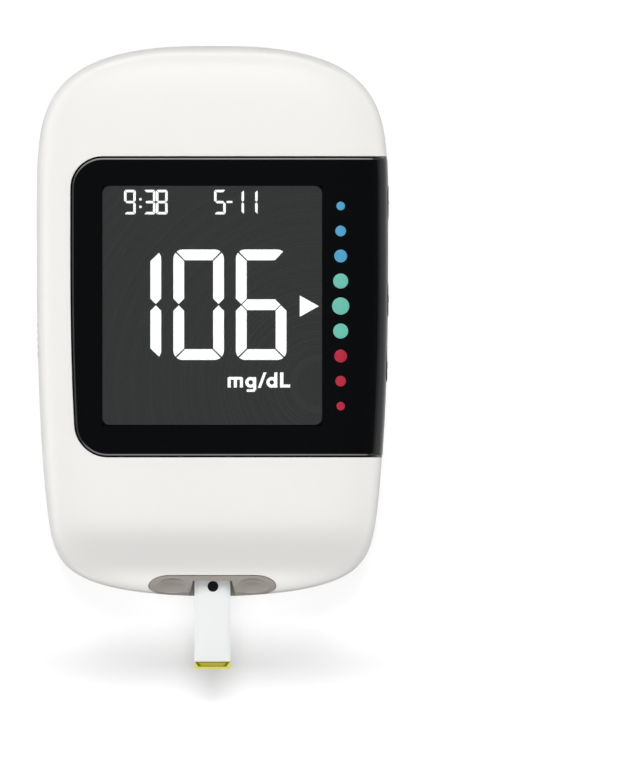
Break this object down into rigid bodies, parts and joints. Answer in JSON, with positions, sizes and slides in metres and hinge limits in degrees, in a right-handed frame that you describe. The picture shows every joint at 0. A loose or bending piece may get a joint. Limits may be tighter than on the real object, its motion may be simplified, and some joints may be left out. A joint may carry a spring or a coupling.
{
  "type": "blood glucose meter",
  "caption": "Hand-held blood glucose meter with a black wrap-round display window, range dots, side buttons, a strip ejector and a test strip in its port.",
  "frame": {"origin": "middle of the flat back, on the surface the meter lies on", "axes": "+Z out of the display, +Y towards the charging socket end, +X towards the side with the buttons"},
  "size_m": [0.0494, 0.087, 0.0153],
  "materials": {
    "white_shell": "satin white moulded plastic",
    "black_window": "polished black",
    "clear_window": "clear moulded window",
    "dot_print": "coloured dots, blue over teal over red",
    "film": "grey polarising film",
    "display_glass": "thin display glass",
    "segments": "lit segments",
    "display_back": "dark display background",
    "pale_plastic": "unpainted moulding",
    "light_guide": "frosted light guide",
    "led": "phosphor lamp face",
    "elastomer": "layered contact rubber",
    "board": "solder mask",
    "chip_black": "moulded package",
    "steel": "plain steel",
    "tan_ceramic": "ceramic",
    "button_black": "satin black",
    "plunger_red": "moulded plunger",
    "spring_brass": "gold flashed",
    "foam": "foam pad",
    "port_grey": "satin taupe grey",
    "connector_cream": "moulded housing",
    "label_silver": "bare silver label",
    "strip_white": "white strip film",
    "strip_film": "smooth cover film",
    "carbon": "printed carbon",
    "tip_yellow": "yellow sampling edge",
    "mark_black": "round contact mark"
  },
  "bodies": {
    "meter_body": {"front_cover": "white_shell", "rear_cover": "white_shell", "display_window": "black_window", "display_lens": "clear_window", "range_dots": "dot_print", "lcd_polariser": "film", "lcd_front_glass": "display_glass", "lcd_digits": "segments", "lcd_rear_glass": "display_back", "lcd_holder": "pale_plastic", "backlight_guide": "light_guide", "backlight_leds": "led", "zebra_strip": "elastomer", "main_board": "board", "microcontroller": "chip_black", "measuring_chip": "chip_black", "radio_module": "steel", "crystal": "steel", "passives": "tan_ceramic", "buzzer": "chip_black", "side_switches": "chip_black", "contact_positive": "spring_brass", "contact_negative": "spring_brass", "coin_can": "steel", "coin_gasket": "foam", "coin_cap": "steel", "port_surround": "port_grey", "strip_connector": "connector_cream", "strip_contacts": "spring_brass", "ejector_spring": "steel", "socket_shell": "steel", "socket_tongue": "chip_black", "case_screws": "steel", "board_screws": "steel", "back_label": "label_silver"},
    "power_button": {"power_button": "button_black", "power_plunger": "plunger_red"},
    "up_button": {"up_button": "button_black", "up_plunger": "plunger_red"},
    "down_button": {"down_button": "button_black", "down_plunger": "plunger_red"},
    "battery_door": {"battery_door": "white_shell", "door_pad": "foam"},
    "ejector": {"ejector_thumb": "white_shell", "ejector_carriage": "pale_plastic"},
    "test_strip": {"strip_base": "strip_white", "strip_electrodes": "carbon", "strip_cover": "strip_film", "strip_tip": "tip_yellow", "strip_mark": "mark_black"}
  },
  "joints": [
    {"name": "power_press", "type": "slide", "parent": "meter_body", "child": "power_button", "axis": [-1, 0, 0], "range_m": [0, 0.0004], "stiffness_N_per_m": 800},
    {"name": "up_press", "type": "slide", "parent": "meter_body", "child": "up_button", "axis": [-1, 0, 0], "range_m": [0, 0.0004], "stiffness_N_per_m": 800},
    {"name": "down_press", "type": "slide", "parent": "meter_body", "child": "down_button", "axis": [-1, 0, 0], "range_m": [0, 0.0004], "stiffness_N_per_m": 800},
    {"name": "battery_door_hinge", "type": "hinge", "parent": "meter_body", "child": "battery_door", "pos_m": [0, 0.02975, 0.00075], "axis": [1, 0, 0], "range_deg": [0, 80]},
    {"name": "ejector_slide", "type": "slide", "parent": "meter_body", "child": "ejector", "axis": [0, -1, 0], "range_m": [0, 0.004], "stiffness_N_per_m": 150, "springref_m": -0.001, "deforming": ["ejector_spring"]},
    {"name": "strip_pull", "type": "slide", "parent": "ejector", "child": "test_strip", "axis": [0, -1, 0], "range_m": [0, 0.014]}
  ]
}
